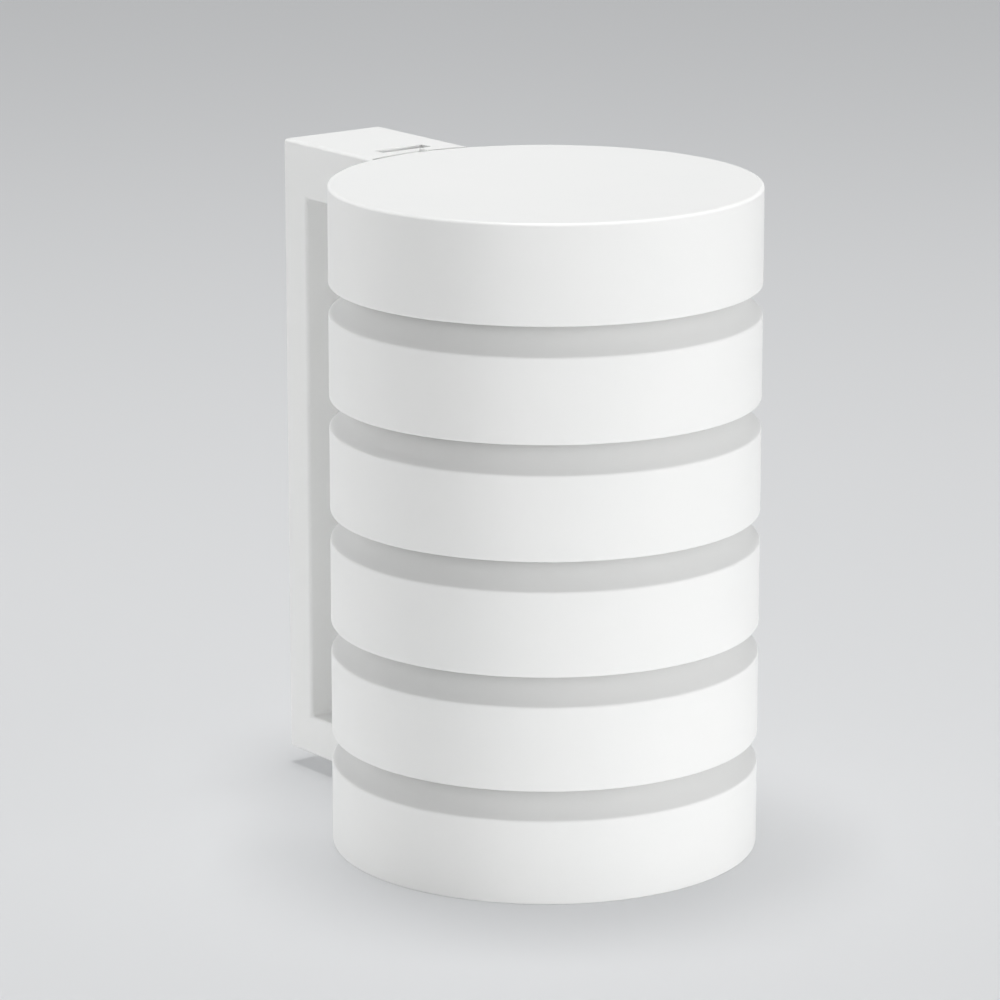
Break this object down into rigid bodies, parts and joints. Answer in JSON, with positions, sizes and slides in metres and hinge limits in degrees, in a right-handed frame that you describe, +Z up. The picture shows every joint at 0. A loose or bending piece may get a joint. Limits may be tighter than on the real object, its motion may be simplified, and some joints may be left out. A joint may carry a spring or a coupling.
{
  "type": "louvred weather station shield",
  "caption": "White louvred radiation shield of stacked rings on a C-shaped wall bracket, with a screw-in base hatch that carries a tubular temperature and humidity sensor module.",
  "frame": {"origin": "middle of the bracket's wall face, on the raised land halfway up the plate", "axes": "+Y into the wall, -Y out to the shield's front, +Z up along the shield's axis"},
  "size_m": [0.096, 0.1291, 0.1506],
  "materials": {
    "white_asa": "moulded satin",
    "brass": "turned",
    "stainless_steel": "rolled",
    "anodised_aluminium": "satin anodised",
    "grey_abs": "moulded matt",
    "black_epoxy": "moulded",
    "board_laminate": "solder mask",
    "battery_wrap": "shrink film",
    "silicone_rubber": "moulded",
    "frosted_acrylic": "frosted"
  },
  "bodies": {
    "bracket": {"wall_bracket": "white_asa"},
    "shield": {"top_cap": "white_asa", "louvre_1": "white_asa", "louvre_2": "white_asa", "louvre_3": "white_asa", "louvre_4": "white_asa", "base_ring": "white_asa", "tie_rod_1": "stainless_steel", "tie_rod_2": "stainless_steel", "tie_rod_3": "stainless_steel", "cap_insert_1": "brass", "cap_insert_2": "brass", "cap_insert_3": "brass"},
    "carriage": {"module_cradle": "grey_abs"},
    "hatch": {"hatch": "white_asa", "tripod_insert": "brass"},
    "module": {"module_shell": "anodised_aluminium", "module_top_plate": "grey_abs", "module_bottom_cap": "grey_abs", "module_seal": "silicone_rubber", "module_chassis": "grey_abs", "module_board": "board_laminate", "battery_1": "battery_wrap", "battery_2": "battery_wrap", "battery_contact_top": "stainless_steel", "battery_contact_bottom": "stainless_steel", "humidity_sensor": "black_epoxy", "radio_can": "stainless_steel", "light_guide": "frosted_acrylic", "module_screw_1": "stainless_steel", "module_screw_2": "stainless_steel"}
  },
  "joints": [
    {"name": "shield_lift", "type": "slide", "parent": "bracket", "child": "shield", "axis": [0, 0, 1], "range_m": [0, 0.012]},
    {"name": "carriage_drop", "type": "slide", "parent": "shield", "child": "carriage", "axis": [0, 0, -1], "range_m": [0, 0.00467]},
    {"name": "hatch_turn", "type": "hinge", "parent": "carriage", "child": "hatch", "pos_m": [0, -0.0811, -0.07315], "axis": [0, 0, -1], "range_deg": [0, 70.01]},
    {"name": "module_lift", "type": "slide", "parent": "carriage", "child": "module", "axis": [0, 0, 1], "range_m": [0, 0.012]}
  ],
  "couplings": [
    {"joint": "hatch_turn", "follows": "carriage_drop", "rad_per_m": 261.8}
  ]
}
